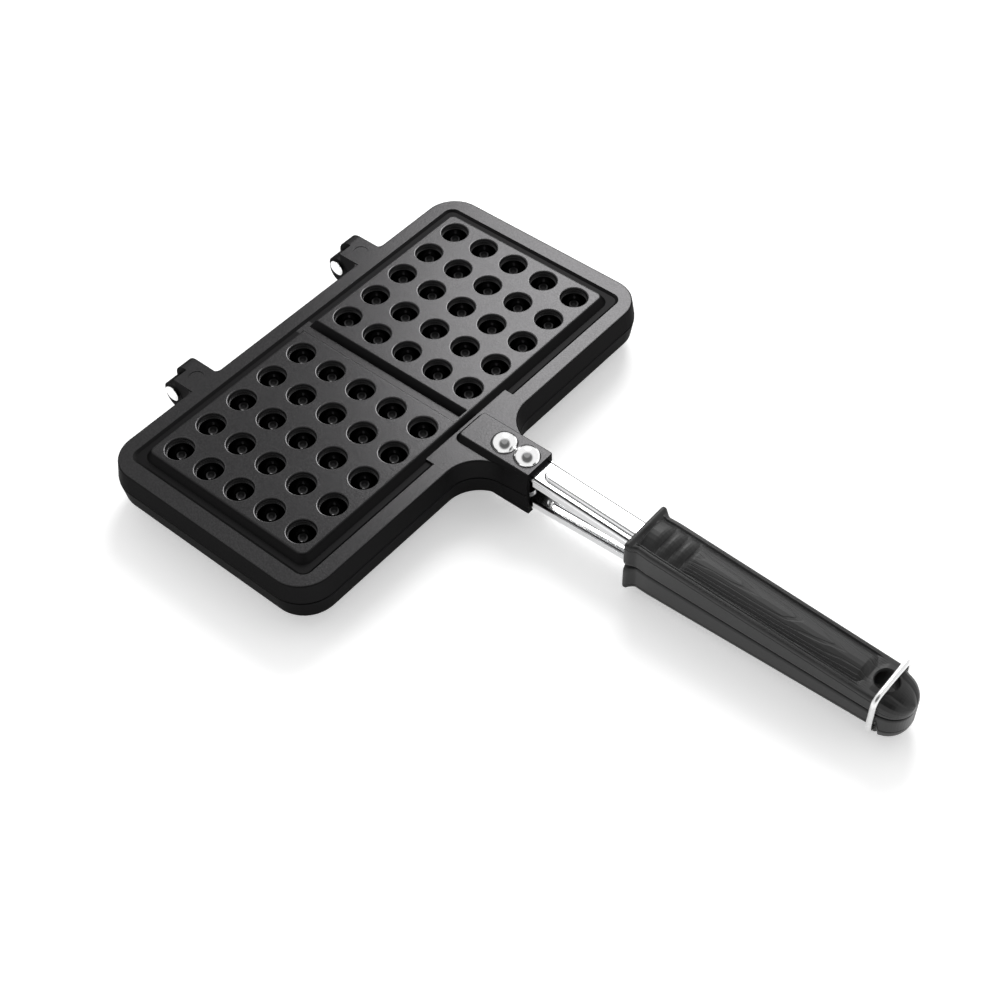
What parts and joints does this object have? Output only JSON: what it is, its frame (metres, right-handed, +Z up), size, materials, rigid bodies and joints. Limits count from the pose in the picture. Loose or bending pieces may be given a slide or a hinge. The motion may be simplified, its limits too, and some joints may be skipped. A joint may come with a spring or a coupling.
{
  "type": "stovetop waffle iron",
  "caption": "Hinged double-sided stovetop waffle iron: two pitted cast pans, riveted steel shanks, split moulded grip and a swinging wire bail.",
  "frame": {"origin": "bottom centre of the bounding box, below the middle of the iron's length, level with the lower rivet domes", "axes": "+X along the handles towards the bail, +Y along the hinge line, +Z up, from the lower pan to the upper pan"},
  "size_m": [0.3375, 0.22, 0.0324],
  "materials": {
    "cast": "cast aluminium under a satin charcoal non-stick coat",
    "steel": "bright polished stamped sheet",
    "rivet": "bright polished",
    "screw": "zinc plated",
    "brass": "turned, satin",
    "wire": "bright drawn wire",
    "bakelite": "black thermoset, moulded wood-grain relief, glossy"
  },
  "bodies": {
    "lower_half": {"lower_pan": "cast", "lower_shank": "steel", "lower_rivet_front": "rivet", "lower_rivet_rear": "rivet", "lower_grip": "bakelite", "lower_grip_screw_front": "screw", "lower_grip_screw_rear": "screw", "lower_grip_insert_front": "brass", "lower_grip_insert_rear": "brass", "hinge_pin_left": "rivet", "hinge_pin_right": "rivet"},
    "upper_half": {"upper_pan": "cast", "upper_shank": "steel", "upper_rivet_front": "rivet", "upper_rivet_rear": "rivet", "upper_grip": "bakelite", "upper_grip_screw_front": "screw", "upper_grip_screw_rear": "screw", "upper_grip_insert_front": "brass", "upper_grip_insert_rear": "brass"},
    "bail": {"locking_bail": "wire"}
  },
  "joints": [
    {"name": "pan_hinge", "type": "hinge", "parent": "lower_half", "child": "upper_half", "pos_m": [-0.16355, 0, 0.0162], "axis": [0, -1, 0], "range_deg": [0, 110]},
    {"name": "bail_pivot", "type": "hinge", "parent": "lower_half", "child": "bail", "pos_m": [0.15755, 0, 0.0062], "axis": [0, 1, 0], "range_deg": [0, 100]}
  ]
}
